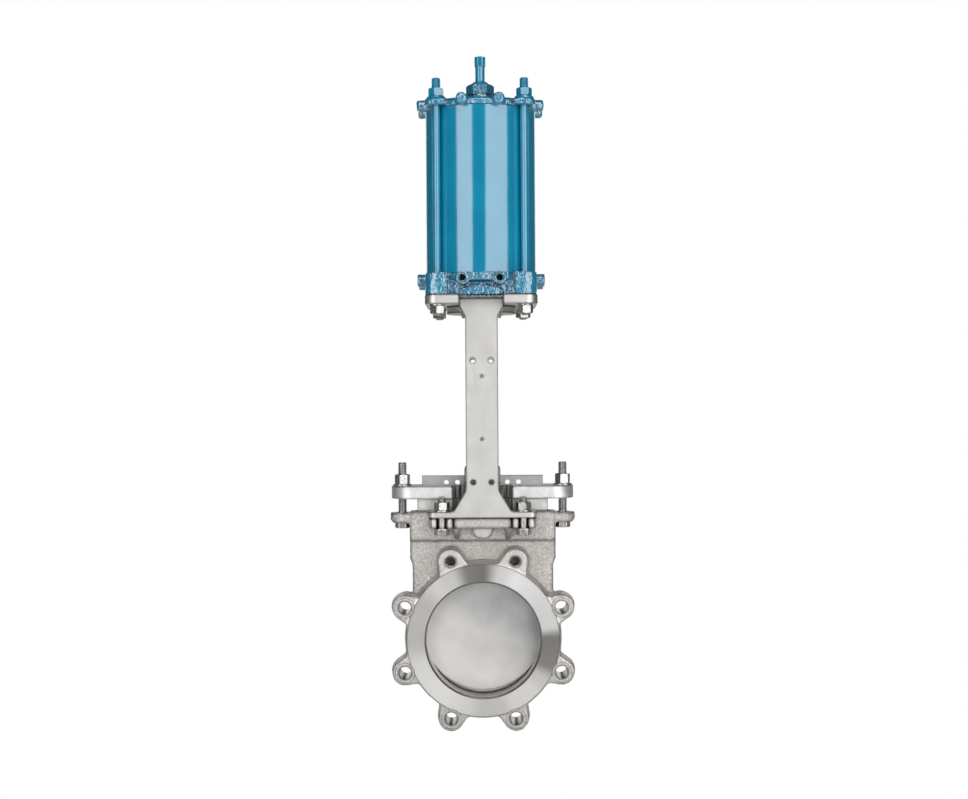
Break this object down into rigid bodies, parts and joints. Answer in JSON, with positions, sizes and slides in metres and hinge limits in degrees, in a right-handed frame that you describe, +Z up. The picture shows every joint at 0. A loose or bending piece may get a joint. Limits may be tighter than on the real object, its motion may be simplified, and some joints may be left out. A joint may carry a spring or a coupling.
{
  "type": "knife gate valve",
  "caption": "Lugged knife gate valve for pipe flanges, with a flat sliding gate, packing gland, two-leg yoke and a square-headed air cylinder on top.",
  "frame": {"origin": "centre of the port, midway between the two raised faces", "axes": "+Z up the stem, -Y out of the upstream port, +X to the right seen from upstream"},
  "size_m": [0.329, 0.224, 1.1972],
  "materials": {
    "cast_stainless": "bead-blasted casting",
    "plate_stainless": "mill finish plate",
    "machined_stainless": "machined",
    "gate_stainless": "fine ground",
    "fastener_steel": "bright",
    "blue_paint": "gloss",
    "blue_paint_cast": "gloss over a rough casting",
    "aluminium": "turned",
    "bronze": "turned",
    "black_rubber": "matte",
    "seat_polymer": "matte",
    "packing_braid": "braided"
  },
  "bodies": {
    "valve": {"body_casting": "cast_stainless", "seat_ring": "seat_polymer", "seat_retainer": "machined_stainless", "gland_bolts": "fastener_steel", "yoke_leg_front": "plate_stainless", "yoke_leg_rear": "plate_stainless", "yoke_top_plate": "plate_stainless", "yoke_bolts": "fastener_steel", "yoke_nuts": "fastener_steel", "yoke_washers": "fastener_steel", "cylinder_bottom_head": "blue_paint_cast", "cylinder_top_head": "blue_paint_cast", "cylinder_tube": "blue_paint", "tube_seal_bottom": "black_rubber", "tube_seal_top": "black_rubber", "tie_rods": "blue_paint", "tie_rod_top_nuts": "blue_paint", "tie_rod_bottom_washers": "fastener_steel", "tie_rod_bottom_nuts": "fastener_steel", "rod_gland_retainer": "machined_stainless", "retainer_screws": "fastener_steel", "rod_bushing": "bronze", "rod_seal": "black_rubber", "rod_wiper": "black_rubber", "stop_gland": "blue_paint", "stop_seal": "black_rubber", "packing_ring_1": "packing_braid", "packing_ring_2": "packing_braid", "packing_ring_3": "packing_braid", "packing_ring_4": "packing_braid"},
    "gate_train": {"gate": "gate_stainless", "clevis": "machined_stainless", "clevis_bolts": "fastener_steel", "clevis_nuts": "fastener_steel", "stem": "machined_stainless", "stem_jam_nut": "fastener_steel", "piston": "aluminium", "piston_seal_lower": "black_rubber", "piston_guide_band": "seat_polymer", "piston_seal_upper": "black_rubber", "piston_washer": "fastener_steel", "piston_nut": "fastener_steel"},
    "gland": {"packing_gland": "machined_stainless", "gland_washers": "fastener_steel", "gland_nuts": "fastener_steel"},
    "travel_stop": {"stop_screw": "blue_paint"}
  },
  "joints": [
    {"name": "gate_stroke", "type": "slide", "parent": "valve", "child": "gate_train", "axis": [0, 0, 1], "range_m": [0, 0.216]},
    {"name": "gland_take_up", "type": "slide", "parent": "valve", "child": "gland", "axis": [0, 0, 1], "range_m": [-0.004, 0], "deforming": ["packing_ring_1", "packing_ring_2", "packing_ring_3", "packing_ring_4"]},
    {"name": "stop_travel", "type": "slide", "parent": "valve", "child": "travel_stop", "axis": [0, 0, 1], "range_m": [-0.025, 0]}
  ]
}
